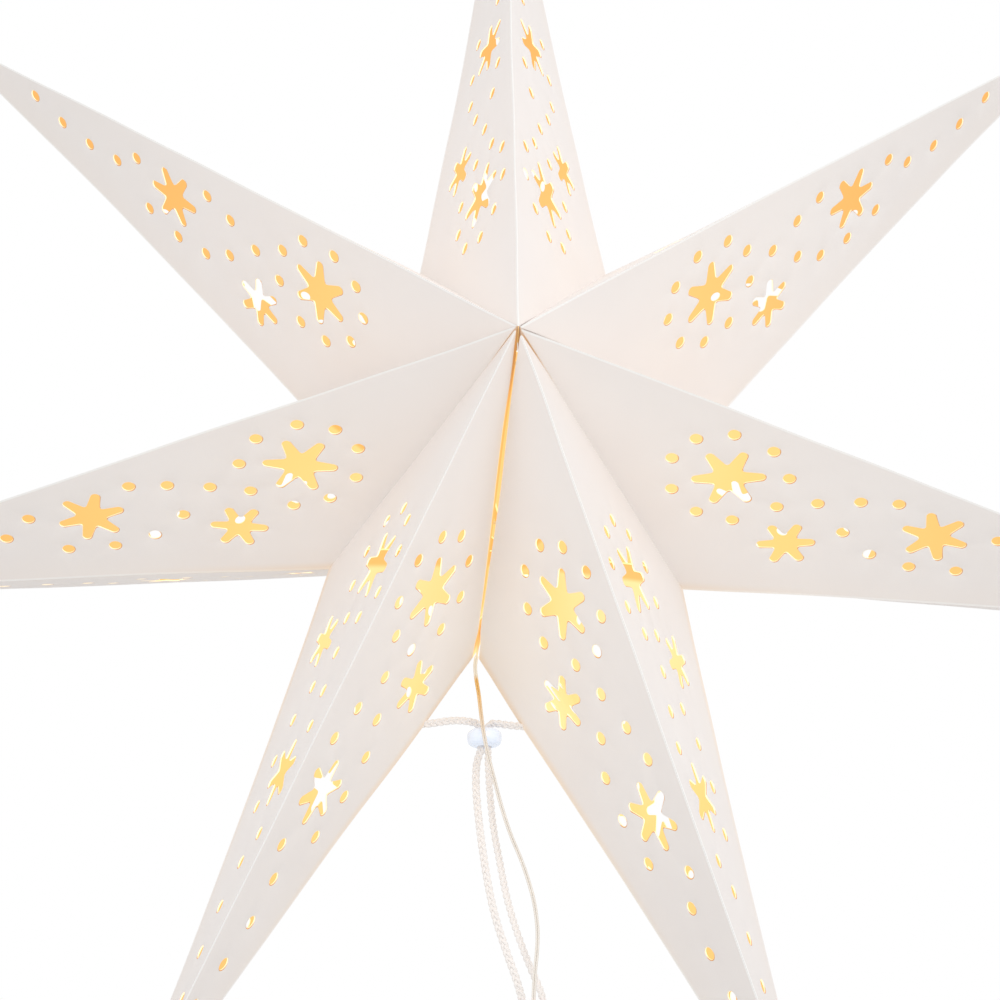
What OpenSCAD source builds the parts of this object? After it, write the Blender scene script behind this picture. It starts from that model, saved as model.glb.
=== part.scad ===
// Paper star lantern: seven folded paper points, glued side by side into a
// fan that closes at a slit, with punched stars and dots, a tie cord with a
// bead across the slit and a chain of small warm lights inside.
//
// The star hangs from a hole near the tip of its top point. The origin is in
// the middle of that hole, +Z is up and the front of the star faces -Y.
// Angles run anticlockwise as seen from the front, from +X.

/* [Star] */
// Reach of each point, from the middle of the star to its tip
reach = 308; // [260:2:360]
// Distance from the middle of the star to the notch between two points
notch_radius = 88; // [80:1:96]
// Depth of the front ridges at the hub, in front of the notches
depth_front = 106; // [90:1:125]
// Depth of the back ridges at the hub, behind the notches
depth_back = 140; // [110:1:160]
// How far the tips stand forward of the notches
tip_forward = 18; // [0:1:24]
// Share of the circle that each point takes, from the slit round to the slit
point_share = [57.5, 54, 52, 52, 51, 48.5, 45];
// How far each tip leans from the middle of its share, in degrees
point_lean = [1, -0.5, -0.5, 0.5, 1.5, 2, 5];
// Direction of the slit from the middle of the star
slit_direction = 260; // [250:1:280]

/* [Paper] */
// Thickness of the paper
sheet_t = 0.4; // [0.3:0.05:0.8]
// Width of the glue flaps folded in along the valleys
flap_w = 12; // [8:1:16]
// Gap between the two flaps that face each other across the slit
slit_gap = 2.5; // [2:0.1:4]

/* [Cut pattern] */
// Place of the big star: along the ridge from the hub, away from the ridge
big_star_at = [95, 30];
// Outer radius of the big star
big_star_r = 13.6; // [11:0.1:15]
// Place of the middle star
middle_star_at = [128.5, 50];
// Outer radius of the middle star
middle_star_r = 10.7; // [8:0.1:12]
// Place of the star that sits out along the point
far_star_at = [175, 22];
// Outer radius of the star that sits out along the point
far_star_r = 12.4; // [9:0.1:14]
// Half the width of a star's arm near its round end
star_arm_r = 1.7; // [1:0.1:2.5]
// Diameter of the punched dots
dot_d = 4.6; // [3:0.1:6]
// Half the length and half the height of the ring of dots round the big star
dot_ring = [22.5, 20.5];
// Where the dots of that ring sit, in degrees
dot_ring_turns = [13, 62, 98, 136, 178, 214, 251, 293, 331];
// The other dots: along the ridge from the hub, away from the ridge
loose_dots = [
    [129.5, 26.5], [143, 19], [155.5, 13.5], [144.5, 35.5], [158.5, 41], [174.5, 40],
    [191, 34], [196, 13], [208.5, 19], [225, 18], [241, 14], [256.5, 7.5]
];

/* [Hanging and tying] */
// Diameter of the hole that the star hangs from
hang_hole_d = 2.5; // [2:0.1:3]
// Distance of that hole from the tip of the top point
hang_hole_in = 14; // [12:1:24]
// Diameter of the two holes for the tie cord
tie_hole_d = 3.2; // [2.9:0.1:4]
// Distance of the tie holes from the notch, along the side crease
tie_hole_in = 32; // [26:1:40]
// Diameter of the braided tie cord
tie_cord_d = 2.6; // [2:0.1:2.8]
// Outer diameter of the bead
bead_d = 13; // [10:0.5:16]
// Height of the bead
bead_h = 7.6; // [6:0.2:10]
// Diameter of the knots that end the tie cord
knot_d = 6; // [5:0.5:8]

/* [Lights] */
// Diameter of the clear lead
lead_d = 1.4; // [1.2:0.1:1.6]
// Diameter of one lamp of the light chain
lamp_d = 4.4; // [3.5:0.1:5.5]
// Diameter of the middle turn of the coiled lead
coil_d = 17; // [15:0.5:20]
// Thickness of the bundle of turns
coil_bundle_d = 7.4; // [6:0.2:9]
// Diameter of the plug's grip
plug_d = 7; // [6:0.5:9]
// Length of the plug's grip
plug_l = 16; // [12:1:22]
// Diameter of the plug's metal barrel
barrel_d = 5.5; // [4:0.1:5.5]
// Length of the plug's metal barrel
barrel_l = 9.5; // [8:0.5:12]
// Diameter of the hole up the middle of the barrel
barrel_bore_d = 2.1; // [1.8:0.1:2.5]

/* [Hidden] */
SIDES = ["lower_right", "right", "upper_right", "top", "upper_left", "left", "lower_left"];
$fn = 48;
TOP = 3;
LAST = len(SIDES) - 1;
FAR = 900;          // larger than the star, for the half spaces that bound a point
CUT = 2 * sheet_t + 2;   // how deep the punch goes, half on each side of the paper
STAR_ARMS = 6;
fit = 0.15;         // clearance between pieces that fit together
hub_in = 0.8;       // the folds stop this far from the star's middle line
tip_flat = 0.6;     // the tips are blunt, this far in
hollow_in = 3;      // the hollow starts this far from the star's middle line
tip_solid = 6;      // the layers of paper fill the last stretch of a tip

paper_white = [0.93, 0.91, 0.89];
cord_white = [0.96, 0.96, 0.95];

function unit(v) = v / norm(v);
function polar(r, a, y = 0) = [r * cos(a), y, r * sin(a)];
function total(v, n) = n == 0 ? 0 : v[n - 1] + total(v, n - 1);

// The star's own corners, measured from its middle
function valley(i) = slit_direction - 360 + 360 * total(point_share, i) / total(point_share, LAST + 1);
function tip_turn(i) = (valley(i) + valley(i + 1)) / 2 + point_lean[i];
function tip(i) = polar(reach, tip_turn(i), -tip_forward);
function notch(i, side) = polar(notch_radius, valley(i + side));
function hub(back) = [0, back ? depth_back : -depth_front, 0];
function between(a, b, share) = a + (b - a) * share;
function along(a, b, distance) = a + unit(b - a) * distance;

// The hole that the star hangs from, in the middle of the top point
hang_at = along(tip(TOP), between(notch(TOP, 0), notch(TOP, 1), 0.5), hang_hole_in);
// The tie holes, on the side creases each side of the slit
tie_hole_left = along(notch(LAST, 1), tip(LAST), tie_hole_in);
tie_hole_right = along(notch(0, 0), tip(0), tie_hole_in);

// One flat panel as a point on it and its outward normal
function panel(i, side, back) =
    let(h = hub(back), n = unit(cross(notch(i, side) - h, tip(i) - h)),
        middle = between(notch(i, 0), notch(i, 1), 0.5))
    [h, n * (middle - h) > 0 ? -n : n];
function wall(i, side) = polar(1, valley(i + side) + (side == 0 ? -90 : 90));
PANELS = [[0, false], [1, false], [0, true], [1, true]];

// How far a flap's edge lies below its panel
function flap_depth(i, side, back) = flap_w * norm(cross(panel(i, side, back)[1], wall(i, side)));
function slit_side(i, side) = (i == 0 && side == 0) || (i == LAST && side == 1);

// All that lies at least inset inside the plane through p with outward normal n
module inside(p, n, inset) {
    a = unit(cross(abs(n[1]) < 0.9 ? [0, 1, 0] : [1, 0, 0], n));
    b = cross(n, a);
    multmatrix([
        [a[0], b[0], n[0], p[0]],
        [a[1], b[1], n[1], p[1]],
        [a[2], b[2], n[2], p[2]]
    ])
        translate([-FAR / 2, -FAR / 2, -FAR - inset]) cube(FAR);
}

// A point's solid wedge, drawn in under its four panels, its two glued walls
// and its two ends, at the hub and at the tip
module wedge(i, under, off_wall, ends) {
    intersection() {
        inside(panel(i, 0, false)[0], panel(i, 0, false)[1], under[0]);
        inside(panel(i, 1, false)[0], panel(i, 1, false)[1], under[1]);
        inside(panel(i, 0, true)[0], panel(i, 0, true)[1], under[2]);
        inside(panel(i, 1, true)[0], panel(i, 1, true)[1], under[3]);
        inside([0, 0, 0], wall(i, 0), off_wall[0]);
        inside([0, 0, 0], wall(i, 1), off_wall[1]);
        inside([0, 0, 0], polar(-1, tip_turn(i)), ends[0]);
        inside(tip(i), unit(tip(i)), ends[1]);
    }
}

// Draws its children on a panel: x along the ridge from the hub, y away from it
module on_panel(i, side, back) {
    h = hub(back);
    u = unit(tip(i) - h);
    across = notch(i, side) - h;
    v = unit(across - u * (across * u));
    w = cross(u, v);
    multmatrix([
        [u[0], v[0], w[0], h[0]],
        [u[1], v[1], w[1], h[1]],
        [u[2], v[2], w[2], h[2]]
    ])
        children();
}

// Outline of a cut star: long arms with round ends, meeting in blunt corners
function star_outline(r) =
    let(step = 360 / STAR_ARMS, end = r - star_arm_r, corner = r * 0.48)
    [for (k = [0:STAR_ARMS - 1]) each concat(
        [for (t = [-75:37.5:75]) polar_2d(end, k * step) + polar_2d(star_arm_r, k * step + t)],
        [polar_2d(corner, (k + 0.38) * step), polar_2d(corner, (k + 0.62) * step)])];
function polar_2d(r, a) = [r * cos(a), r * sin(a)];

module star_cut(at, r, turn) {
    translate([at[0], at[1], -CUT / 2]) rotate(turn) linear_extrude(CUT) polygon(star_outline(r));
}

module dot_cut(at) {
    translate([at[0], at[1], -CUT / 2]) cylinder(h = CUT, d = dot_d);
}

// Everything that is cut out of one panel
module pattern() {
    star_cut(big_star_at, big_star_r, 30);
    star_cut(middle_star_at, middle_star_r, 30);
    star_cut(far_star_at, far_star_r, -6);
    for (turn = dot_ring_turns)
        dot_cut(big_star_at + [dot_ring[0] * cos(turn), dot_ring[1] * sin(turn)]);
    for (at = loose_dots) dot_cut(at);
}

// Draws a cylinder along the line through a and b, centred on a
module bore_through(a, b, d, length) {
    w = unit(b - a);
    u = unit(cross([0, 1, 0], w));
    v = cross(w, u);
    multmatrix([
        [u[0], v[0], w[0], a[0]],
        [u[1], v[1], w[1], a[1]],
        [u[2], v[2], w[2], a[2]]
    ])
        cylinder(h = length, d = d, center = true);
}

// One folded point: four punched panels and the glue flaps along its valleys
module point(i) {
    gap = [for (side = [0, 1]) slit_side(i, side) ? slit_gap / 2 : 0];
    skin = [for (p = PANELS) sheet_t];
    flaps = [for (p = PANELS) flap_depth(i, p[0], p[1])];
    color(paper_white) difference() {
        wedge(i, [0, 0, 0, 0], gap, [hub_in, tip_flat]);
        wedge(i, skin, [gap[0] + sheet_t, gap[1] + sheet_t], [hollow_in, tip_solid]);
        wedge(i, flaps, [-1, -1], [-1, tip_solid]);
        for (p = PANELS) on_panel(i, p[0], p[1]) pattern();
        if (i == TOP)
            bore_through(hang_at, hang_at + [1, 0, 0], hang_hole_d, 20);
        if (i == LAST)
            bore_through(tie_hole_left, tie_hole_right, tie_hole_d, 12);
        if (i == 0)
            bore_through(tie_hole_right, tie_hole_left, tie_hole_d, 12);
    }
}

// The bead that both ends of the tie cord pass down through
bead_at = [-12.2, -3, -118.8];
bead_bore_d = 2 * tie_cord_d + 4 * fit;
module bead() {
    color([0.85, 0.9, 0.94]) translate(bead_at) difference() {
        intersection() {
            cylinder(h = bead_h, d = bead_d, center = true);
            sphere(d = norm([bead_d, bead_h]) * 0.93);
        }
        cylinder(h = bead_h + 2, d = bead_bore_d, center = true);
    }
}

// A smooth tube through the points of a route
function smooth(route, steps) =
    let(n = len(route))
    [for (k = [0:n - 2], s = [0:steps - 1])
        let(a = route[max(k - 1, 0)], b = route[k], c = route[k + 1],
            d = route[min(k + 2, n - 1)], t = s / steps)
        0.5 * (2 * b + (c - a) * t + (2 * a - 5 * b + 4 * c - d) * t * t
            + (3 * b - 3 * c + d - a) * t * t * t),
     route[n - 1]];
function heading(path, k) = unit(path[min(k + 1, len(path) - 1)] - path[max(k - 1, 0)]);
module tube(path, d, sides = 8) {
    n = len(path);
    rings = [for (k = [0:n - 1])
        let(t = heading(path, k), a = unit(cross(t, [0, 1, 0])), b = cross(t, a))
        for (s = [0:sides - 1]) path[k] + (a * cos(360 * s / sides) + b * sin(360 * s / sides)) * d / 2];
    walls = [for (k = [0:n - 2], s = [0:sides - 1])
        let(p = k * sides + s, q = k * sides + (s + 1) % sides)
        each [[p, q, q + sides], [p, q + sides, p + sides]]];
    first = [for (s = [1:sides - 2]) [0, s + 1, s]];
    last = [for (s = [1:sides - 2]) (n - 1) * sides * [1, 1, 1] + [0, s, s + 1]];
    polyhedron(rings, concat(walls, first, last));
}

// Routes of the cords, measured from the middle of the star
left_route = [
    tie_hole_left + [-5, 0, 0], tie_hole_left, [-24, -3, -112], [-17, -3, -112.6],
    [-13.6, -3, -114.6], [-13.6, -3, -118.8], [-13.7, -3, -123.5], [-15.2, -3, -129],
    [-15.4, -3, -138], [-14.6, -3, -148], [-13.2, -3, -160], [-11.2, -3, -173],
    [-8.6, -3, -185], [-4.8, -3, -197], [-1, -3, -208], [1.5, -3, -218], [2.5, -3, -228]
];
right_route = [
    tie_hole_right + [5, 0, 0], tie_hole_right, [-4.5, -3, -113.7], [-9, -3, -113.2],
    [-10.8, -3, -114.6], [-10.8, -3, -118.8], [-10.9, -3, -123.5], [-10.8, -3, -130],
    [-10.2, -3, -141], [-9, -3, -153], [-6.9, -3, -165], [-4.4, -3, -178],
    [-1, -3, -190], [3.4, -3, -202], [7.2, -3, -211], [9.6, -3, -222], [10.4, -3, -234]
];
lead_route = [
    [-15, 0, -86], [-15.6, -0.8, -90], [-15.2, -4, -96], [-14.2, -9, -104], [-13.4, -11, -112],
    [-12.4, -11.2, -119.5], [-10.9, -11, -127.5], [-8.6, -11, -137], [-6, -11, -147],
    [-3, -11, -156.5], [0.6, -11, -165.5], [3.4, -11, -174], [5.3, -11, -182],
    [6.2, -11, -190.5], [5.9, -11, -198], [5, -11, -206], [4.4, -11, -215], [4.2, -11, -224],
    [4.2, -11, -233]
];
chain_route = [
    [-15, 0, -85.9], [-12.4, 3.2, -70], [-8, 6, -60], [4, 10, -52], [20, 12, -42], [34, 10, -26],
    [38, 6, -4], [32, 2, 18], [16, -2, 32], [-4, -6, 36], [-24, -10, 28], [-36, -12, 8],
    [-34, -14, -16], [-20, -16, -34], [0, -18, -38], [20, -20, -28], [30, -22, -8],
    [26, -24, 12], [10, -26, 24], [-10, -28, 22], [-22, -30, 8], [-22, -32, -10]
];
lamp_steps = [3, 5, 7, 9, 11, 13, 15, 17, 19, 21];

// The lead runs down into the left of the coil, where the turns run upright
coil_at = lead_route[len(lead_route) - 1] + [coil_d / 2, 0, 0];
coil_top = coil_at + [0, 0, coil_d / 2];
neck_l = 4;
neck_d = 3.4;
plug_at = coil_at + [0, 0, -(coil_d + coil_bundle_d) / 2 - neck_l - plug_l / 2];

module tie_cord_left() {
    color(cord_white) difference() {
        tube(smooth(left_route, 1), tie_cord_d);
        tie_knots();
    }
}

module tie_cord_right() {
    color(cord_white) difference() {
        tube(smooth(right_route, 1), tie_cord_d);
        tie_knots();
    }
}

// The knots: two behind the tie holes and one on each hanging end
module tie_knots() {
    color(cord_white)
        for (at = [left_route[0], right_route[0], left_route[16], right_route[16]])
            translate(at) sphere(d = knot_d);
}

module light_chain_wire() {
    color([0.9, 0.92, 0.92]) difference() {
        tube(smooth(chain_route, 1), lead_d);
        light_chain_lamps();
    }
}

module light_chain_lamps() {
    color([1, 0.86, 0.5]) for (k = lamp_steps) translate(chain_route[k]) sphere(d = lamp_d);
}

module lead() {
    color([0.9, 0.92, 0.92]) difference() {
        tube(smooth(lead_route, 2), lead_d);
        lead_coil();
    }
}

module lead_coil() {
    color([0.9, 0.92, 0.92]) translate(coil_at) rotate([90, 0, 0])
        rotate_extrude() translate([coil_d / 2, 0]) circle(d = coil_bundle_d);
}

module coil_tie() {
    color("white") translate(coil_top) rotate([0, 90, 0]) difference() {
        cylinder(h = 2.4, d = coil_bundle_d + 1.6, center = true);
        cylinder(h = 4, d = coil_bundle_d + 2 * fit, center = true);
    }
}

// The plug hangs from the coil by its neck, and its barrel points down
module plug_grip() {
    color([0.93, 0.94, 0.94]) translate(plug_at) {
        cylinder(h = plug_l, d = plug_d, center = true);
        translate([0, 0, plug_l / 2 - 0.5]) cylinder(h = neck_l + 0.5, d = neck_d);
    }
}

module plug_barrel() {
    color("silver") translate(plug_at + [0, 0, -plug_l / 2 - barrel_l]) difference() {
        cylinder(h = barrel_l, d = barrel_d);
        translate([0, 0, -1]) cylinder(h = barrel_l - 0.5, d = barrel_bore_d);
    }
}

module hung() {
    translate(-hang_at) children();
}

hung() point(0);  // point_lower_right
hung() point(1);  // point_right
hung() point(2);  // point_upper_right
hung() point(3);  // point_top
hung() point(4);  // point_upper_left
hung() point(5);  // point_left
hung() point(6);  // point_lower_left
hung() bead();
hung() tie_cord_left();
hung() tie_cord_right();
hung() tie_knots();
hung() light_chain_wire();
hung() light_chain_lamps();
hung() lead();
hung() lead_coil();
hung() coil_tie();
hung() plug_grip();
hung() plug_barrel();
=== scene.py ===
# %% [markdown]
# Paper star lantern
#
# Seven folded paper points are glued side by side into a star. Stars and dots are cut out of every
# panel, small warm lights shine inside, and a braided cord with a bead ties the star's slit.
# The solid model comes first and stays fixed. Every piece below is dressed over it, in metres.

import math

import bpy
import numpy as np
from mathutils import Matrix, Vector, noise
from mathutils.geometry import delaunay_2d_cdt


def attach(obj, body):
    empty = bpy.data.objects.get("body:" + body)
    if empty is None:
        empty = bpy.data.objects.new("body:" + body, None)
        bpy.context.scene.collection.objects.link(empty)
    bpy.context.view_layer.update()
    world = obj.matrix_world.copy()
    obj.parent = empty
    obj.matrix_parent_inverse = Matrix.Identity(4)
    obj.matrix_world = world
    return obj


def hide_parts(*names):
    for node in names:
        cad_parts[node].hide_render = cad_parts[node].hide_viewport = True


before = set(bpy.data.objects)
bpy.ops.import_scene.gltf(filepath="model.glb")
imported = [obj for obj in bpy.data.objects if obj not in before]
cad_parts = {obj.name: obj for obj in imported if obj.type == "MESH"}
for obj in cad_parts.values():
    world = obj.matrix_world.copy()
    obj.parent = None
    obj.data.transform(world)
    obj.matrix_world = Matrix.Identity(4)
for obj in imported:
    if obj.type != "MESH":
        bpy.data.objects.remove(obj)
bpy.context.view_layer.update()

# %% [markdown]
# The star's own corners
#
# A folded star is ruled by a few lines: each point has a tip, two notches and a hub in front and
# behind. It is easiest to think of them in millimetres from the star's middle. One small function
# then turns such a place into the model's metres, measured from the hanging hole.

# %% Corners of the star, in millimetres from its middle
REACH, NOTCH, TIP_FORWARD = 308, 88, 18
DEPTH_FRONT, DEPTH_BACK = 106, 140
SHARES = [57.5, 54, 52, 52, 51, 48.5, 45]
LEANS = [1, -0.5, -0.5, 0.5, 1.5, 2, 5]
SLIT_TURN = 260
POINTS = ["lower_right", "right", "upper_right", "top", "upper_left", "left", "lower_left"]
TOP, LAST = 3, 6


def unit(v):
    return np.asarray(v, float) / np.linalg.norm(v)


def polar(radius, turn, y=0.0):
    return np.array([radius * math.cos(math.radians(turn)), y, radius * math.sin(math.radians(turn))])


def valley(i):
    return SLIT_TURN - 360 + sum(SHARES[:i])


def tip(i):
    return polar(REACH, (valley(i) + valley(i + 1)) / 2 + LEANS[i], -TIP_FORWARD)


def notch(i, side):
    return polar(NOTCH, valley(i + side))


def along(a, b, distance):
    return a + unit(b - a) * distance


hang_at = along(tip(TOP), (notch(TOP, 0) + notch(TOP, 1)) / 2, 14)
hole_left = along(notch(LAST, 1), tip(LAST), 32)
hole_right = along(notch(0, 0), tip(0), 32)


def metres(places):
    """Millimetres from the star's middle, as metres from the hanging hole."""
    return (np.asarray(places, float) - hang_at) / 1000


print("hanging hole, mm from the middle:", hang_at.round(3))

# %% [markdown]
# The camera
#
# The lantern hangs above eye level, so the camera looks up at it by some 22 degrees from half a
# metre below. The lens is the one at which the notches and tips fall where they should.

# %% Camera below and in front
EYE = metres([-14.4, -675.1, -293.0])
LOOK, UP = unit([0.0122, 0.9279, 0.3727]), np.array([0.0046, -0.3728, 0.9279])
right = unit(np.cross(LOOK, UP))
upward = np.cross(right, LOOK)
camera = bpy.data.objects.new("camera", bpy.data.cameras.new("camera"))
bpy.context.scene.collection.objects.link(camera)
camera.data.sensor_width = 36
camera.data.lens = 1845 / 1000 * 36
camera.matrix_world = Matrix((
    (right[0], upward[0], -LOOK[0], EYE[0]),
    (right[1], upward[1], -LOOK[1], EYE[1]),
    (right[2], upward[2], -LOOK[2], EYE[2]),
    (0, 0, 0, 1)))
camera.data.clip_start = 0.05
bpy.context.scene.camera = camera
print("lens", round(camera.data.lens, 1), "mm")

# %% [markdown]
# Cords and the lead: where they run
#
# A cord's route is a few listed places, joined by one smooth curve. A Catmull-Rom curve
# passes through every one of them, so it is the natural choice here. Each strand of a braid and
# each core of the lead then keeps its own offset from that curve, which needs a frame that
# doesn't twist as the curve turns.

# %% Smooth routes and steady frames
def smooth(route, steps):
    """A Catmull-Rom curve through the places of a route."""
    p = np.asarray(route, float)
    p = np.vstack([p[0], p, p[-1]])
    t = (np.arange(steps) / steps)[:, None]
    out = []
    for a, b, c, d in zip(p, p[1:], p[2:], p[3:]):
        out.append(0.5 * (2 * b + (c - a) * t + (2 * a - 5 * b + 4 * c - d) * t ** 2
                          + (3 * b - 3 * c + d - a) * t ** 3))
    return np.vstack(out + [p[-1:]])


def spaced(path, gap):
    """The same curve with a point every gap millimetres."""
    run = np.concatenate([[0], np.cumsum(np.linalg.norm(np.diff(path, axis=0), axis=1))])
    at = np.linspace(0, run[-1], max(2, int(round(run[-1] / gap)) + 1))
    return np.stack([np.interp(at, run, path[:, k]) for k in range(3)], 1)


def frames(path, first=(1, 0, 0)):
    """Sideways and across directions at each point, carried along without twist."""
    heading = np.gradient(path, axis=0)
    heading /= np.linalg.norm(heading, axis=1)[:, None]
    side = np.zeros_like(path)
    s = np.asarray(first, float)
    for k, h in enumerate(heading):
        s = unit(s - h * (s @ h))
        side[k] = s
    return side, np.cross(heading, side)


def length_of(path):
    return float(np.linalg.norm(np.diff(path, axis=0), axis=1).sum())


LEFT_ROUTE = [
    hole_left + [-5, 0, 0], hole_left, [-24, -3, -112], [-17, -3, -112.6],
    [-13.6, -3, -114.6], [-13.6, -3, -118.8], [-13.7, -3, -123.5], [-15.2, -3, -129],
    [-15.4, -3, -138], [-14.6, -3, -148], [-13.2, -3, -160], [-11.2, -3, -173],
    [-8.6, -3, -185], [-4.8, -3, -197], [-1, -3, -208], [1.5, -3, -218], [2.5, -3, -228]]
RIGHT_ROUTE = [
    hole_right + [5, 0, 0], hole_right, [-4.5, -3, -113.7], [-9, -3, -113.2],
    [-10.8, -3, -114.6], [-10.8, -3, -118.8], [-10.9, -3, -123.5], [-10.8, -3, -130],
    [-10.2, -3, -141], [-9, -3, -153], [-6.9, -3, -165], [-4.4, -3, -178],
    [-1, -3, -190], [3.4, -3, -202], [7.2, -3, -211], [9.6, -3, -222], [10.4, -3, -234]]
LEAD_ROUTE = [
    [-15, 0, -86], [-15.6, -0.8, -90], [-15.2, -4, -96], [-14.2, -9, -104], [-13.4, -11, -112],
    [-12.4, -11.2, -119.5], [-10.9, -11, -127.5], [-8.6, -11, -137], [-6, -11, -147],
    [-3, -11, -156.5], [0.6, -11, -165.5], [3.4, -11, -174], [5.3, -11, -182],
    [6.2, -11, -190.5], [5.9, -11, -198], [5, -11, -206], [4.4, -11.4, -215], [4.2, -13, -224]]
CHAIN_ROUTE = [
    [-15, 0, -85.9], [-12.4, 3.2, -70], [-8, 6, -60], [4, 10, -52], [20, 12, -42], [34, 10, -26],
    [38, 6, -4], [32, 2, 18], [16, -2, 32], [-4, -6, 36], [-24, -10, 28], [-36, -12, 8],
    [-34, -14, -16], [-20, -16, -34], [0, -18, -38], [20, -20, -28], [30, -22, -8],
    [26, -24, 12], [10, -26, 24], [-10, -28, 22], [-22, -30, 8], [-22, -32, -10]]
CORD_WIDE, KNOT_WIDE, LEAD_WIDE, LAMP_WIDE = 2.6, 6.0, 1.4, 4.4
COIL_MID, BUNDLE = 17.0, 7.4
coil_at = np.array([4.2 + COIL_MID / 2, -11, -233])
print("visible run of the lead:", round(length_of(smooth(LEAD_ROUTE, 8))), "mm")

# %% [markdown]
# Tubes and strands
#
# Everything long and thin here is a tube: a ring of points carried along a path. Several tubes are
# gathered in one mesh, because a braid or a twin lead is one thing to whoever picks it up.

# %% Make tubes and one mesh out of them
class Shape:
    """Points, faces and the material number of each face, gathered before a mesh is made."""

    def __init__(self):
        self.points, self.faces, self.kinds = [], [], []

    def add(self, points, faces, kind=0):
        start = len(self.points)
        self.points.extend(map(tuple, np.asarray(points, float)))
        self.faces.extend(tuple(start + k for k in f) for f in faces)
        self.kinds.extend([kind] * len(faces))

    def tube(self, path, radius, sides=8, kind=0, first=(1, 0, 0)):
        """A closed tube along the path; radius is one number or one for each point."""
        path = np.asarray(path, float)
        n = len(path)
        side, across = frames(path, first)
        radius = np.broadcast_to(np.asarray(radius, float), (n,))
        turn = np.arange(sides) * 2 * math.pi / sides
        ring = side[:, None] * np.cos(turn)[None, :, None] + across[:, None] * np.sin(turn)[None, :, None]
        points = (path[:, None] + ring * radius[:, None, None]).reshape(-1, 3)
        faces = [(k * sides + s, k * sides + (s + 1) % sides, (k + 1) * sides + (s + 1) % sides,
                  (k + 1) * sides + s) for k in range(n - 1) for s in range(sides)]
        faces += [tuple(range(sides))[::-1], tuple(range((n - 1) * sides, n * sides))]
        self.add(points, faces, kind)

    def turned(self, profile, at, axis=(0, 0, 1), steps=40, kind=0):
        """A turned form: profile is (radius, height) pairs along the axis, from below."""
        w = unit(axis)
        u = unit(np.cross([0.3, 1, 0.2], w))
        v = np.cross(w, u)
        turn = np.arange(steps) * 2 * math.pi / steps
        ring = np.cos(turn)[:, None] * u + np.sin(turn)[:, None] * v
        points = np.vstack([np.asarray(at) + ring * r + w * h for r, h in profile])
        rows = len(profile)
        faces = [(k * steps + s, k * steps + (s + 1) % steps, (k + 1) * steps + (s + 1) % steps,
                  (k + 1) * steps + s) for k in range(rows - 1) for s in range(steps)]
        if profile[0] == profile[-1]:
            points = points[:-steps]
            faces = [tuple(p % len(points) for p in f) for f in faces]
        else:
            faces += [tuple(range(steps))[::-1], tuple(range((rows - 1) * steps, rows * steps))]
        self.add(points, faces, kind)

    def piece(self, name, materials, smooth_to=40):
        """The mesh as an object in the model's frame, smooth up to that angle."""
        mesh = bpy.data.meshes.new(name)
        mesh.from_pydata([tuple(p) for p in metres(self.points)], [], self.faces)
        for m in materials:
            mesh.materials.append(m)
        mesh.polygons.foreach_set("material_index", self.kinds)
        mesh.polygons.foreach_set("use_smooth", [True] * len(self.faces))
        mesh.set_sharp_from_angle(angle=math.radians(smooth_to))
        mesh.update()
        thing = bpy.data.objects.new(name, mesh)
        bpy.context.scene.collection.objects.link(thing)
        return thing


# %% [markdown]
# Writing materials as sums
#
# A material is a small sum of masks and colours, so it reads best as one. This class wraps one
# output of a node. Plus, minus and times on it add Math nodes, and everything else goes through a
# single method that places a node, sets it and connects it.

# %% A socket that knows arithmetic
class Sock:
    def __init__(self, paint, out):
        self.paint, self.out = paint, out

    def _math(self, operation, a, b):
        return self.paint.node("ShaderNodeMath", {"operation": operation}, a, b)

    def __add__(self, other):
        return self._math("ADD", self, other)

    def __sub__(self, other):
        return self._math("SUBTRACT", self, other)

    def __rsub__(self, other):
        return self._math("SUBTRACT", other, self)

    def __mul__(self, other):
        return self._math("MULTIPLY", self, other)

    __radd__, __rmul__ = __add__, __mul__


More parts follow.
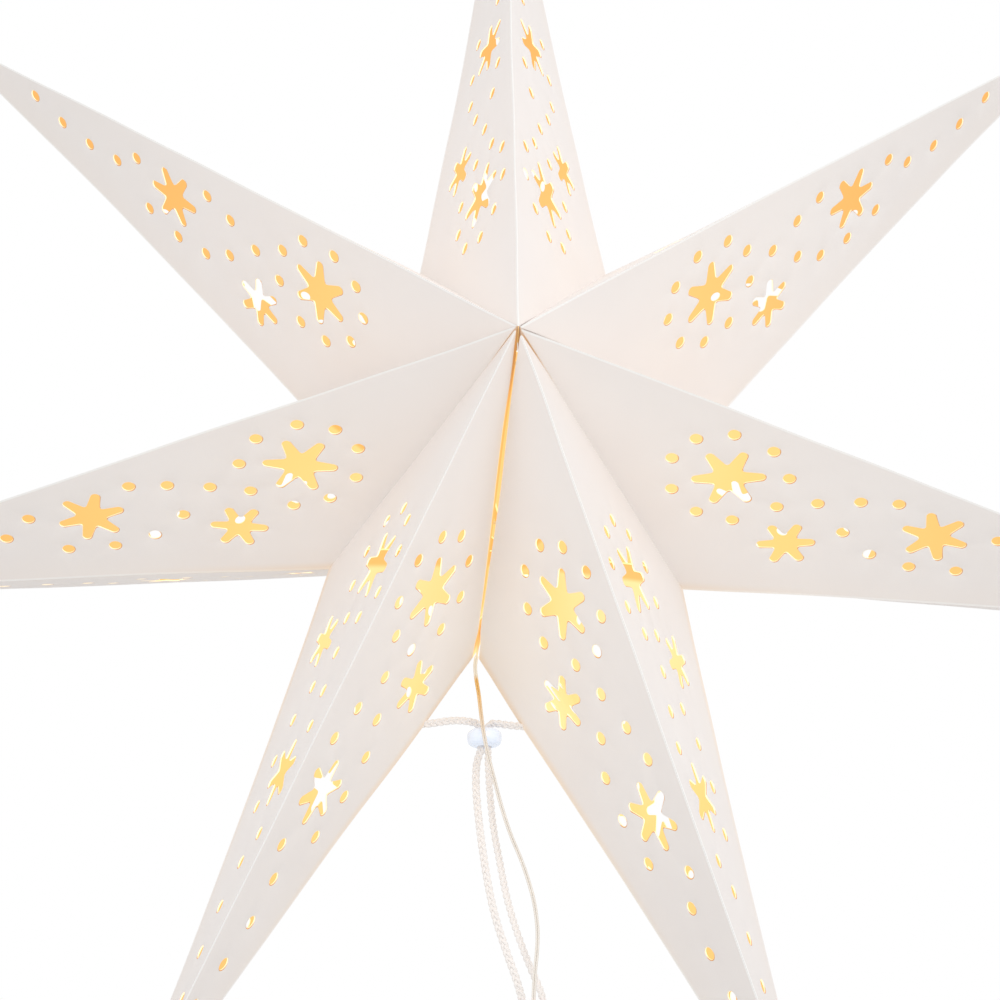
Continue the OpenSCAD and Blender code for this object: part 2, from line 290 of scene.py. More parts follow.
class Paint:
    """A material and the few nodes that every one of them needs."""

    def __init__(self, name, **constants):
        self.material = bpy.data.materials.new(name)
        self.material.use_nodes = True
        self.tree = self.material.node_tree
        self.tree.nodes.clear()
        self.shader = self.tree.nodes.new("ShaderNodeBsdfPrincipled")
        sink = self.tree.nodes.new("ShaderNodeOutputMaterial")
        self.tree.links.new(self.shader.outputs[0], sink.inputs["Surface"])
        self.set(**constants)

    def put(self, socket, value):
        if isinstance(value, Sock):
            self.tree.links.new(value.out, socket)
        elif value is not None:
            socket.default_value = value

    def node(self, kind, settings=None, *values, out=0, **named):
        made = self.tree.nodes.new(kind)
        for key, value in (settings or {}).items():
            if key == "stops":
                ramp = made.color_ramp.elements
                while len(ramp) < len(value):
                    ramp.new(0.5)
                for stop, (at, colour) in zip(ramp, value):
                    stop.position, stop.color = at, colour
            else:
                setattr(made, key, value)
        for socket, value in zip(made.inputs, values):
            self.put(socket, value)
        for key, value in named.items():
            self.put(made.inputs[key.replace("_", " ")], value)
        return Sock(self, made.outputs[out])

    def set(self, **values):
        for key, value in values.items():
            self.put(self.shader.inputs[key.replace("_", " ")], value)

    def mix(self, share, a, b):
        """Colour a where share is 0 and b where it is 1."""
        made = self.tree.nodes.new("ShaderNodeMix")
        made.data_type = "RGBA"
        for k, value in ((0, share), (6, a), (7, b)):
            self.put(made.inputs[k], value)
        return Sock(self, made.outputs[2])

    def place(self):
        return self.node("ShaderNodeTexCoord", out="Object")

    def value(self, name):
        """A number stored on the mesh's points."""
        return self.node("ShaderNodeAttribute", {"attribute_name": name}, out="Fac")

    def fade(self, x, low, high):
        """0 below low and 1 above high, with a soft step between."""
        return self.node("ShaderNodeMapRange", {"interpolation_type": "SMOOTHSTEP"}, x, low, high, 0.0, 1.0)

    def grain(self, scale, detail=2.0, rough=0.5):
        return self.node("ShaderNodeTexNoise", None, Vector=self.place(), Scale=scale, Detail=detail,
                         Roughness=rough)

    def far_from(self, spot):
        """Distance in metres from a spot given in millimetres from the star's middle."""
        return self.node("ShaderNodeVectorMath", {"operation": "DISTANCE"}, self.place(),
                         tuple(metres(spot)), out="Value")

    def bump(self, height, depth, strength=1.0):
        normal = self.node("ShaderNodeBump", None, Strength=strength, Distance=depth, Height=height)
        self.set(Normal=normal)


def shade(r, g, b):
    """A colour as seen on screen, 0 to 255, for a socket."""
    return tuple(((c / 255 + 0.055) / 1.055) ** 2.4 if c > 10 else c / 3294 for c in (r, g, b)) + (1.0,)


# %% [markdown]
# Cord, lead and plug finishes
#
# The tie cord is matt white cotton, the lead two clear cores side by side with a warm wire showing
# through, the bead milky plastic with a faint painted glow that lifts its shade. Close to the slit the
# lamps' light is painted onto the lead, white right at the slit and orange a little further on, so
# that colour depends on the distance from the slit.

# %% Materials of the small parts
cotton = Paint("white_cotton", Roughness=0.9, Sheen_Weight=0.25, Specular_IOR_Level=0.2)
fibre = cotton.grain(1400, 2, 0.5)
cotton.set(Base_Color=cotton.mix(fibre, shade(243, 238, 235), shade(251, 248, 246)))
cotton.bump(fibre, 0.00006, 0.3)

clear_lead = Paint("clear_lead", Roughness=0.2, IOR=1.5, Coat_Weight=0.4)
# Painted light near the slit: the lead is drawn white right at the slit and orange a little further on.
from_slit = clear_lead.far_from([-15, 0, -87])
glow_reach = 1 - clear_lead.fade(from_slit, 0.012, 0.040)
slit_glare = 1 - clear_lead.fade(from_slit, 0.007, 0.012)
core = clear_lead.grain(160, 2)
plain = clear_lead.mix(core, shade(222, 215, 206), shade(238, 233, 226))
clear_lead.set(Base_Color=clear_lead.mix(slit_glare, clear_lead.mix(glow_reach, plain, shade(246, 196, 108)),
                                         shade(255, 250, 236)))

# The bead's faint blue-white emission is painted light. It lifts the bead's shade and stands in for light
# scattered through milky plastic.
milk = Paint("milky_bead", Roughness=0.18, IOR=1.46, Coat_Weight=0.5, Emission_Strength=0.3,
             Emission_Color=shade(214, 226, 244))
cloud = milk.grain(240, 2)
milk.set(Base_Color=milk.mix(cloud, shade(214, 224, 240), shade(226, 234, 246)))

grip = Paint("clear_grip", Roughness=0.3, IOR=1.5, Coat_Weight=0.3)
haze = grip.grain(300, 2)
grip.set(Base_Color=grip.mix(haze, shade(212, 214, 212), shade(228, 229, 227)))

nickel = Paint("plated_barrel", Metallic=1.0)
scuff = nickel.grain(900, 3)
nickel.set(Base_Color=shade(205, 205, 208), Roughness=scuff * 0.12 + 0.16)

tie_paper = Paint("white_wire_tie", Roughness=0.65)
wrinkle = tie_paper.grain(1200, 2)
tie_paper.set(Base_Color=tie_paper.mix(wrinkle, shade(226, 226, 224), shade(240, 240, 238)))
tie_paper.bump(wrinkle, 0.0001, 0.5)
print("materials so far:", len(bpy.data.materials))

# %% [markdown]
# The braided tie cord
#
# A cord like this is plaited from strands that swing from side to side and pass over each other
# twice as often. That is the curve below: one swing sideways for two in depth. Three strands, a
# third of a swing apart, give the row of small V shapes that the eye reads as a plait.

# %% Plait the two lengths of cord
def plait(shape, path, swing, lift, strand, pitch):
    """Three strands round a path, on a sideways swing and a smaller lift."""
    line = spaced(path, pitch / 16)
    side, across = frames(line)
    run = np.arange(len(line)) * pitch / 16
    for k in range(3):
        turn = 2 * math.pi * (run / pitch + k / 3)
        shape.tube(line + side * (swing * np.sin(turn))[:, None] + across * (lift * np.sin(2 * turn))[:, None],
                   strand, sides=8)
    return line


SWING, LIFT, STRAND, PITCH = 0.86, 0.42, 0.66, 7.0
cords = {}
for name, route in (("left", LEFT_ROUTE), ("right", RIGHT_ROUTE)):
    shape = Shape()
    line = plait(shape, smooth(route, 8), SWING, LIFT, STRAND, PITCH)
    cord = shape.piece(f"tie_cord_{name}_plait", [cotton.material])
    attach(cord, "root")
    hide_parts(f"tie_cord_{name}")
    cords[name] = (cord, line)
    print(name, "cord", round(length_of(line)), "mm,", len(shape.faces), "faces")

# %% [markdown]
# Knots
#
# Each end of the cord is stopped by an overhand knot, which is a trefoil: a curve that winds three
# times one way while it winds twice the other. Drawn as a thick tube it fills the round space that
# a tight knot takes. A short tuft of loose strands stands out of each hanging one.

# %% Tie the four knots
def trefoil(at, wide, thick):
    t = np.linspace(0, 2 * math.pi, 60, endpoint=False)
    curve = np.stack([np.sin(t) + 2 * np.sin(2 * t), 0.9 * -np.sin(3 * t), np.cos(t) - 2 * np.cos(2 * t)], 1)
    curve *= (wide / 2 - thick * 0.5) / 3.0
    return np.vstack([curve, curve[:2]]) + np.asarray(at)


KNOT_CORD, KNOT_RADIUS, TAIL_STRANDS = 2.2, 1.15, 5
knots = Shape()
for route in (LEFT_ROUTE, RIGHT_ROUTE):
    knots.tube(trefoil(route[0], KNOT_WIDE, KNOT_CORD), KNOT_RADIUS, sides=10)
    end = np.asarray(route[-1], float)
    knots.tube(trefoil(end, KNOT_WIDE, KNOT_CORD), KNOT_RADIUS, sides=10)
    for k in range(TAIL_STRANDS):
        lean = np.array([0.5 * (k - TAIL_STRANDS // 2), 0.35 * math.cos(k * 2.1), -1.0])
        tail = np.array([end + [0, 0, -1.5] + lean * s * 1.6 for s in np.linspace(0, 2.0, 5)])
        knots.tube(tail, [0.5, 0.5, 0.46, 0.4, 0.25], sides=6)
knot_piece = knots.piece("tie_cord_knots", [cotton.material])
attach(knot_piece, "root")
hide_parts("tie_knots")
print("knots:", len(knots.faces), "faces")

# %% [markdown]
# The bead
#
# A bead is turned, so a profile spun about its bore makes it. A superellipse gives the full, flattened
# outline that a plain ball doesn't have, and it stops where the bore opens.

# %% Turn the bead
BEAD_AT, BEAD_WIDE, BEAD_HIGH, BORE = np.array([-12.2, -3, -118.8]), 13.0, 7.6, 5.8
full = 3.0
# the outline stops at the bore, so its full height is a little less than the bead's
high = BEAD_HIGH / 2 * 0.93
rim_at = high * (1 - (BORE / BEAD_WIDE) ** full) ** (1 / full)
lean_in = math.asin(min(1, (rim_at / high) ** (full / 2)))
profile = []
for t in np.linspace(-lean_in, lean_in, 30):
    c, s = math.cos(t), math.sin(t)
    profile.append((BEAD_WIDE / 2 * c ** (2 / full), high * math.copysign(abs(s) ** (2 / full), s)))
profile += [(BORE / 2 + 0.12, rim_at * 0.9), (BORE / 2, rim_at * 0.7), (BORE / 2, 0.0),
            (BORE / 2, -rim_at * 0.7), (BORE / 2 + 0.12, -rim_at * 0.9), profile[0]]
bead_shape = Shape()
bead_shape.turned(profile, BEAD_AT, steps=56)
bead = bead_shape.piece("bead_turned", [milk.material], smooth_to=60)
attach(bead, "root")
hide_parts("bead")
print("bead:", len(bead_shape.faces), "faces")

# %% [markdown]
# The lead, wound up below the picture
#
# The thin lead hangs out of the slit and its spare length is wound into a small coil, held by a
# tie. The turns lie in rows like logs, each one wire's width from the next, and the winding steps
# from one place to its neighbour once per turn. The last turn swings down into the plug.

# %% Wind the coil and run the lead into it
ROW = LEAD_WIDE * 0.866
LAYOUT = ([(0.0, -3 * ROW)]
          + [(x * LEAD_WIDE, -2 * ROW) for x in (-1, 0, 1)]
          + [(x * LEAD_WIDE, -ROW) for x in (1.5, 0.5, -0.5, -1.5)]
          + [(x * LEAD_WIDE, 0.0) for x in (-2, -1, 0, 1)]
          + [(x * LEAD_WIDE, ROW) for x in (0.5, -0.5, -1.5)]
          + [(x * LEAD_WIDE, 2 * ROW) for x in (-1, 0, 1)]
          + [(1.5 * LEAD_WIDE, ROW), (2 * LEAD_WIDE, 0.0)])
PER_TURN, STEP_ASIDE, LEAVE = 28, 0.2, 70.6


def ease(x):
    x = min(max(x, 0.0), 1.0)
    return x * x * (3 - 2 * x)


def on_coil(turns):
    """A place on the winding, that many turns after its start at the coil's left."""
    k = min(int(turns), len(LAYOUT) - 1)
    here, after = np.array(LAYOUT[k]), np.array(LAYOUT[min(k + 1, len(LAYOUT) - 1)])
    share = ease((turns - k - (1 - STEP_ASIDE)) / STEP_ASIDE)
    out, aside = here + (after - here) * share
    angle = math.radians(180 + 360 * turns)
    radius = COIL_MID / 2 + out
    return coil_at + [radius * math.cos(angle), aside, radius * math.sin(angle)]


last_turn = len(LAYOUT) - 1 + LEAVE / 360
winding = np.array([on_coil(t) for t in np.linspace(0, last_turn, int(last_turn * PER_TURN))])
outer = COIL_MID / 2 + LAYOUT[-1][0]
bend = outer * math.cos(math.radians(LEAVE)) / (1 - math.cos(math.radians(LEAVE)))
drop = [coil_at + [-bend * (1 - math.cos(a)), 0, -outer * math.sin(math.radians(LEAVE))
                   - bend * (math.sin(math.radians(LEAVE)) - math.sin(a))]
        for a in np.linspace(math.radians(LEAVE), 0, 8)[1:]]
into_plug = drop[-1] + np.array([0, 0, -1.6])
start_run = smooth(LEAD_ROUTE + [[4.2, coil_at[1] - 3 * ROW, -229]], 6)
lead_line = spaced(np.vstack([start_run, winding, drop, [into_plug]]), 1.9)
side, _ = frames(lead_line)
lead_shape = Shape()
for edge in (-1, 1):
    lead_shape.tube(lead_line + side * edge * LEAD_WIDE * 0.26, LEAD_WIDE * 0.27, sides=8)
lead = lead_shape.piece("lead_twin_core", [clear_lead.material])
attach(lead, "root")
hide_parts("lead", "lead_coil")
print("lead", round(length_of(lead_line)), "mm,", len(LAYOUT), "turns, last bend", round(bend, 1), "mm")

# %% [markdown]
# Coil tie and plug
#
# The tie is a flat wire tie: a band round the turns with its ends twisted together. The plug is
# moulded: a ribbed strain relief that tapers out of the lead, a grip with finger ridges, and a
# plated barrel, which the solid model already has at its true size.

# %% Tie the coil and mould the plug
tie_shape = Shape()
t = np.linspace(0, 2 * math.pi, 41)
coil_top = coil_at + [0, 0, COIL_MID / 2]
for x in (-0.8, -0.27, 0.27, 0.8):
    loop = np.stack([np.full_like(t, x), np.cos(t) * (BUNDLE / 2 + 0.45), np.sin(t) * (BUNDLE / 2 + 0.45)], 1)
    tie_shape.tube(np.vstack([loop, loop[1:2]]) + coil_top, 0.32, sides=6)
s = np.linspace(0, 1, 30)
for k in (0, 1):
    turn = s * 3.5 * 2 * math.pi + math.pi * k
    tail = np.stack([np.cos(turn) * 0.5, BUNDLE / 2 + 0.4 + s * 3.4, np.sin(turn) * 0.5 + 0.6], 1) + coil_top
    tie_shape.tube(tail, 0.42, sides=6)
tie = tie_shape.piece("coil_wire_tie", [tie_paper.material])
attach(tie, "root")
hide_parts("coil_tie")

PLUG_WIDE, PLUG_LONG, NECK = 7.0, 16.0, 4.0
plug_top = coil_at + [0, 0, -(COIL_MID + BUNDLE) / 2 - NECK]
profile = [(0.02, -PLUG_LONG), (3.1, -PLUG_LONG), (3.4, -PLUG_LONG + 0.5)]
profile += [(PLUG_WIDE / 2 - 0.22 * (k % 2), -PLUG_LONG + 1.5 + k * 0.8) for k in range(12)]
profile += [(PLUG_WIDE / 2, -4.4), (3.4, -3.4), (2.9, -2.4), (2.3, -1.7)]
profile += [(2.1 - 0.09 * k - 0.28 * (k % 2), -1.3 + 0.32 * k) for k in range(9)] + [(0.8, 1.6), (0.02, 1.6)]
plug_shape = Shape()
plug_shape.turned(profile, plug_top, steps=40)
plug = plug_shape.piece("plug_moulded_grip", [grip.material], smooth_to=35)
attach(plug, "root")
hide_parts("plug_grip")
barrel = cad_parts["plug_barrel"]
barrel.data.materials.clear()
barrel.data.materials.append(nickel.material)
print("plug top at", plug_top.round(1), "lead ends at", into_plug.round(1))

# %% [markdown]
# The cords and what sits on them
#
# Two lengths of limp braid hang free from the tie holes, and one thin lead leaves through the slit.
# The loop below only lists the knots and the bead for the left cord, and nothing for the right.

for name, (cord, line) in cords.items():
    [knot_piece, bead] if name == "left" else []

# %% [markdown]
# The chain of lights
#
# Inside the star a thin wire loops about with a drop of clear resin at every lamp. It is only
# glimpsed through the cuts, but it is what fills the star with light. A drop is a turned form that
# is a little longer than wide, set along the wire.

# %% String the lights
LAMP_STEPS = [3, 5, 7, 9, 11, 13, 15, 17, 19, 21]
warm = Paint("lamp_glow", Roughness=0.3, Emission_Strength=2.5)
warm.material.cycles.emission_sampling = "NONE"
flicker = warm.grain(400, 1)
warm.set(Base_Color=shade(255, 232, 180),
         Emission_Color=warm.mix(flicker, shade(255, 214, 130), shade(255, 240, 190)))
chain_shape, lamp_shape = Shape(), Shape()
chain_line = spaced(smooth(CHAIN_ROUTE, 8), 2.0)
side, _ = frames(chain_line, (0, 1, 0))
for edge in (-1, 1):
    chain_shape.tube(chain_line + side * edge * 0.34, 0.36, sides=6)
drop_profile = [(max(0.02, LAMP_WIDE / 2 * math.sin(a) ** 0.8), -2.7 * math.cos(a))
                for a in np.linspace(0.0, math.pi, 15)]
for k in LAMP_STEPS:
    at = np.asarray(CHAIN_ROUTE[k], float)
    way = unit(np.asarray(CHAIN_ROUTE[min(k + 1, len(CHAIN_ROUTE) - 1)], float)
               - np.asarray(CHAIN_ROUTE[k - 1], float))
    lamp_shape.turned(drop_profile, at, axis=way, steps=20)
chain = chain_shape.piece("light_chain_twin_wire", [clear_lead.material])
lamps = lamp_shape.piece("light_chain_drops", [warm.material])
for piece, node, slot in ((chain, "light_chain_wire", "clear_lead"), (lamps, "light_chain_lamps", "lamp")):
    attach(piece, "root")
    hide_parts(node)
print("chain", round(length_of(chain_line)), "mm with", len(LAMP_STEPS), "lamps")

# %% [markdown]
# Paper seen from outside, inside and on the cut
#
# The outside is matt white card. Its fold lines and side creases carry a painted highlight, a shade
# brighter where a rounded fold catches light, and painted warm light soaks through near the middle,
# along the glued valleys and side creases and on the edges beside the slit. The card is painted a
# little darker towards the tips and lighter by the slit's notch. Each cut gets a painted highlight
# on its lit side and painted shade on the other. The inside glows with painted light that stands in
# for the lamps: brightest by the lamps, in painted shade at the front hub, and a deeper orange out
# towards the tips. The cut edges catch that light as a thin painted cream rim.

# %% Materials of the paper
outside = Paint("paper_outside", Roughness=0.62, Specular_IOR_Level=0.35)
off_ridge, off_valley, off_side, cut_edge, cut_side = (
    outside.value(n) for n in ("off_ridge", "off_valley", "off_side", "cut_edge", "cut_side"))
# Painted highlights: the ridge folds and side creases are drawn lighter, as where a rounded fold catches light.
fold_highlight = 1 - outside.fade(off_ridge, 0.0005, 0.0012)
crease_highlight = 1 - outside.fade(off_side, 0.0006, 0.0013)
# Painted warm light: light soaking through is drawn as a warm tint along the valleys, the side creases and near
# the middle.
by_valley = (1 - outside.fade(off_valley, 0.0, 0.026)) * 0.12
by_side = (1 - outside.fade(off_side, 0.0, 0.018)) * 0.12
near_hub = (1 - outside.fade(outside.far_from([0, -10, 0]), 0.05, 0.17)) * 0.04
# Painted shade: the card is drawn a little darker out towards the tips.
tip_shade = outside.fade(outside.far_from([0, -10, 0]), 0.11, 0.27) * 0.35
fibres = outside.grain(1500, 4, 0.6)
mottle = outside.grain(34, 2)
body = outside.mix(mottle, shade(245, 240, 238), shade(249, 245, 243))
tip_shaded = outside.mix(tip_shade, body, shade(232, 226, 223))
light_soaked = outside.mix(by_valley + by_side + near_hub, tip_shaded, shade(250, 236, 222))
highlighted = outside.mix(fold_highlight * 0.95 + crease_highlight * 0.6, light_soaked, shade(255, 255, 254))
# Painted highlight in cream on the side of each cut's lip that faces the light, and painted shade in orange on
# the other side.
lip_lit = outside.fade(cut_edge, 0.1, 0.7) * outside.fade(cut_side, -0.1, 0.6)
lip_shade = outside.fade(cut_edge, 0.15, 0.6) * outside.fade(cut_side * -1, -0.05, 0.5)
# Painted light from the slit: the card is drawn lighter near the notch and warmer along the side creases beside
# it.
from_notch = outside.far_from([-15, 0, -92])
slit_light = (1 - outside.fade(from_notch, 0.0, 0.07)) * 0.6
edge_light = (1 - outside.fade(off_side, 0.0, 0.005)) * (1 - outside.fade(from_notch, 0.03, 0.16)) * 0.55
lightened = outside.mix(slit_light, highlighted, shade(255, 250, 244))
warmed = outside.mix(edge_light, lightened, shade(255, 226, 190))
rimmed = outside.mix(lip_lit * 0.9, warmed, shade(255, 246, 226))
outside.set(Base_Color=outside.mix(lip_shade * 0.9, rimmed, shade(226, 160, 84)))
outside.bump(fibres, 0.00005, 0.35)

# The inner skin's emission is painted light standing in for the lamps: a warm glow, deeper orange towards the
# tips and on the flaps by the slit.
inside = Paint("paper_inside_glow", Roughness=0.8, Specular_IOR_Level=0.1, Emission_Strength=1.0)
inside.material.cycles.emission_sampling = "NONE"
away = inside.fade(inside.far_from([6, 10, -55]), 0.02, 0.27)
warmth = inside.node("ShaderNodeValToRGB", {"stops": [
    (0.0, shade(250, 234, 178)), (0.28, shade(242, 210, 138)), (1.0, shade(224, 172, 104))]}, away)
patch = inside.grain(26, 2)
# Painted shade: the glow is dimmed close to the front hub.
hub_shade = 1 - inside.fade(inside.far_from([0, -DEPTH_FRONT, 0]), 0.014, 0.04)
lit = inside.mix(patch * 0.3, warmth, shade(236, 186, 106))
on_flap = inside.fade(inside.value("on_flap"), 0.0, 0.35)
glow = inside.mix(on_flap * 0.75, lit, shade(232, 158, 74))
inside.set(Base_Color=shade(140, 118, 88),
           Emission_Color=inside.mix(hub_shade * 0.75, glow, shade(160, 112, 70)))

# The cut edges carry painted light: they glow cream on the side facing the light and orange on the other, with
# painted shade close to the front hub.
rim = Paint("paper_cut_edge", Roughness=0.7, Specular_IOR_Level=0.2, Emission_Strength=0.6)
rim.material.cycles.emission_sampling = "NONE"
rim_side = rim.fade(rim.value("cut_side"), -0.5, 0.4)
rim_far = rim.fade(rim.far_from([0, -DEPTH_FRONT, 0]), 0.02, 0.05)
rim_glow = rim.mix(rim_side, shade(216, 150, 76), shade(255, 238, 196))
rim.set(Base_Color=rim.mix(rim_far, shade(190, 164, 138), shade(255, 246, 230)),
        Emission_Color=rim.mix(rim_far, shade(110, 76, 44), rim_glow))
PAPER = [outside.material, inside.material, rim.material]

# %% [markdown]
# The cut pattern
#
# Every panel carries the same pattern, mirrored about its ridge: three stars with long, round
# ended arms and a scatter of punched dots. Each cut is an outline on the flat panel, with a second
# outline just outside it. Between the two the paper is pressed in a little, as a die leaves it.

# %% Outlines of the cuts, in millimetres on a flat panel
LIP_WIDE, LIP_DEEP, SHEET = 0.55, 0.16, 0.4
STARS = [((95, 30), 13.6, 30), ((128.5, 50), 10.7, 30), ((175, 22), 12.4, -6)]
RING_TURNS = [13, 62, 98, 136, 178, 214, 251, 293, 331]
LOOSE = [(129.5, 26.5), (143, 19), (155.5, 13.5), (144.5, 35.5), (158.5, 41), (174.5, 40),
         (191, 34), (196, 13), (208.5, 19), (225, 18), (241, 14), (256.5, 7.5)]
DOTS = [(95 + 22.5 * math.cos(math.radians(a)), 30 + 20.5 * math.sin(math.radians(a)))
        for a in RING_TURNS] + LOOSE


def circle(at, radius, grow):
    turn = np.arange(18) * 2 * math.pi / 18
    return np.asarray(at) + (radius + grow) * np.stack([np.cos(turn), np.sin(turn)], 1)


def cut_star(at, radius, turn, grow):
    """Six tapering arms with round ends, meeting in small round corners."""
    out = []
    for k in range(6):
        way = math.radians(turn + 60 * k)
        end = np.array([math.cos(way), math.sin(way)]) * (radius - 1.7)
        for t in np.radians(np.linspace(-75, 75, 8)):
            out.append(end + (1.7 + grow) * np.array([math.cos(way + t), math.sin(way + t)]))
        for share, inner in ((0.37, 0.5), (0.44, 0.468), (0.5, 0.458), (0.56, 0.468), (0.63, 0.5)):
            a = way + math.radians(60 * share)
            out.append(np.array([math.cos(a), math.sin(a)]) * (radius * inner + grow * 1.15))
    return np.asarray(at) + np.array(out)


def away_from_cut(loop):
    """The way out of a cut's middle, square to its outline, at each of its points."""
    run = np.roll(loop, -1, 0) - np.roll(loop, 1, 0)
    run /= np.linalg.norm(run, axis=1)[:, None]
    return np.stack([run[:, 1], -run[:, 0]], 1)


CUTS = [(cut_star(at, r, turn, 0), cut_star(at, r, turn, LIP_WIDE)) for at, r, turn in STARS]
CUTS += [(circle(at, 2.3, 0), circle(at, 2.3, LIP_WIDE)) for at in DOTS]
print(len(CUTS), "cuts on each panel,", sum(len(a) for a, _ in CUTS), "points round them")

# %% [markdown]
# From outline to paper
#
# A panel is a triangle between hub, notch and tip, with the cuts as holes. A constrained Delaunay
# triangulation fills it with well shaped triangles that respect every outline. A few rows of
# points in between let the sheet bend, and the outer edges are divided alike on both panels
# that share a fold, so that they weld into one skin.

# %% Fill a panel with triangles
GRID, ROWS = 9.0, 8.0


def inside_loop(points, loop):
    """Which points lie in a closed outline."""
    x, y = points[:, 0][:, None], points[:, 1][:, None]
    ax, ay = loop[:, 0], loop[:, 1]
    bx, by = np.roll(ax, -1), np.roll(ay, -1)
    crosses = ((ay > y) != (by > y)) & (x < (bx - ax) * (y - ay) / np.where(by == ay, 1e-12, by - ay) + ax)
    return crosses.sum(1) % 2 == 1


def divided(a, b, pieces):
    share = np.linspace(0, 1, pieces, endpoint=False)[:, None]
    return np.asarray(a) + (np.asarray(b) - np.asarray(a)) * share


def distance_to(points, a, b):
    d = unit(np.asarray(b) - np.asarray(a))
    return np.abs((points[:, 0] - a[0]) * d[1] - (points[:, 1] - a[1]) * d[0])


def fill_panel(corners, pieces, cuts):
    """Points, triangles and the points that stand on a cut's edge, for one flat panel."""
    border = np.vstack([divided(corners[k], corners[(k + 1) % len(corners)], pieces[k])
                        for k in range(len(corners))])
    centre = corners.mean(0)
    # a lip that would reach the fold is drawn in to half its width
    cuts = [(inner, outer if inside_loop(centre + (outer - centre) * 1.012, corners).all()
             else (inner + outer) / 2) for inner, outer in cuts]
    loops = [border] + [loop for pair in cuts for loop in pair]
    grid = np.array([(x + GRID / 2 * (r % 2), 4.0 + ROWS * r) for r in range(16)
                     for x in np.arange(2, corners[:, 0].max(), GRID)])
    ok = inside_loop(grid, corners)
    for k in range(len(corners)):
        ok &= distance_to(grid, corners[k], corners[(k + 1) % len(corners)]) > 2.2
    for _, outer in cuts:
        middle = outer.mean(0)
        ok &= ~inside_loop(grid, middle + (outer - middle) * 1.25)
    points = np.vstack(loops + [grid[ok]])
    # the border is bowed a hair outwards while it is triangulated, so that no triangle lies along it
    bowed, start = points.copy(), 0
    for k, n in enumerate(pieces):
        run = corners[(k + 1) % len(corners)] - corners[k]
        out = np.array([run[1], -run[0]]) / np.linalg.norm(run)
        out = -out if out @ (centre - corners[k]) > 0 else out
        t = np.linspace(0, 1, n, endpoint=False)[:, None]
        bowed[start:start + n] += out * t * (1 - t) * 0.8
        start += n
    edges, start = [], 0
    for loop in loops:
        n = len(loop)
        edges += [(start + k, start + (k + 1) % n) for k in range(n)]
        start += n
    made, _, faces, origin, _, _ = delaunay_2d_cdt([Vector(p) for p in bowed], edges, [], 0, 1e-6, True)
    made = np.array([points[names[0]] if names else tuple(p) for p, names in zip(made, origin)])
    faces = np.array([f for f in faces if len(f) == 3])
    middles = made[faces].mean(1)
    keep = np.ones(len(faces), bool)
    for inner, _ in cuts:
        keep &= ~inside_loop(middles, inner)
    on_cut, way = np.zeros(len(points)), np.zeros((len(points), 2))
    start = len(border)
    for inner, outer in cuts:
        on_cut[start:start + len(inner)] = 1
        way[start:start + 2 * len(inner)] = np.tile(away_from_cut(inner), (2, 1))
        start += len(inner) + len(outer)
    of_input = np.array([names[0] if names else len(points) - 1 for names in origin])
    return made, faces[keep], on_cut[of_input], way[of_input]


# %% [markdown]
# Folding a point
#
# Four panels and two chevron shaped glue flaps make the outer skin of a point. The inner skin lies
# one sheet thickness below it: at a fold, its points are pushed so that they stay that far under
# every face that meets there. Walls along all free edges close the sheet. Real card isn't dead
# flat, so the ridges bow out by a millimetre or two, the side edges draw in, and the panels ripple
# slightly, all as functions of position that agree wherever two panels meet.

# %% Build one folded point
RIDGE_BOW, SIDE_PULL, RIPPLE = 1.6, 1.8, 0.35
# LIT_FROM is the way the light comes from; the sides of the cuts facing it get painted highlights, the others
# painted shade.
LIT_FROM = unit([-0.5, 0, 0.86])
HUB_SHIFT = [(0.5, 0.4, -1.5), (0.8, 0, -0.6), (0.4, 0, 0.1), (0, 0, 0.4), (-0.3, 0, 0.5), (-0.7, 0, 0.5),
             (-0.4, 0, 0.1)]
SLIT_OPEN = [0.05, 0.2, 0.7, 0.85, 0.42, 0.18, 0.35]
FLAP, SLIT_SEED, TIP_FLAT = 12.0, 0.15, 0.6
RIDGE_STEPS, SIDE_STEPS, VALLEY_STEPS = 38, 30, 22
# without a seed of its own, this noise starts from the clock and ripples otherwise each time
noise.seed_set(11)


def hub(back):
    return np.array([0.0, DEPTH_BACK if back else -DEPTH_FRONT, 0.0])


def settled(i, p):
    """How far hand work and the paper's spring move a place of point i."""
    move = np.array(noise.noise_vector(Vector(p) / 42.0)) * RIPPLE
    move += np.array(noise.noise_vector(Vector(p) / 15.0)) * 0.05
    for back in (False, True):
        move += np.array(HUB_SHIFT[i]) * math.exp(-(np.linalg.norm(p - hub(back)) / 16) ** 2)
    if i in (0, LAST):
        outward = polar(1, SLIT_TURN + (-90 if i == 0 else 90))
        deep, run = -p @ outward, p @ polar(1, SLIT_TURN) / NOTCH
        apart = np.interp(run, [0, 0.12, 0.28, 0.45, 0.7, 0.9, 1.0], SLIT_OPEN)
        # the lead leaves at the notch, so the slit stays wide enough for it there
        apart += (1.1 - apart) * (1 - ease((abs(p[1]) - 2) / 9)) * ease(run * 4 - 2)
        move -= outward * apart * ease(1 - deep / 22)
    return move


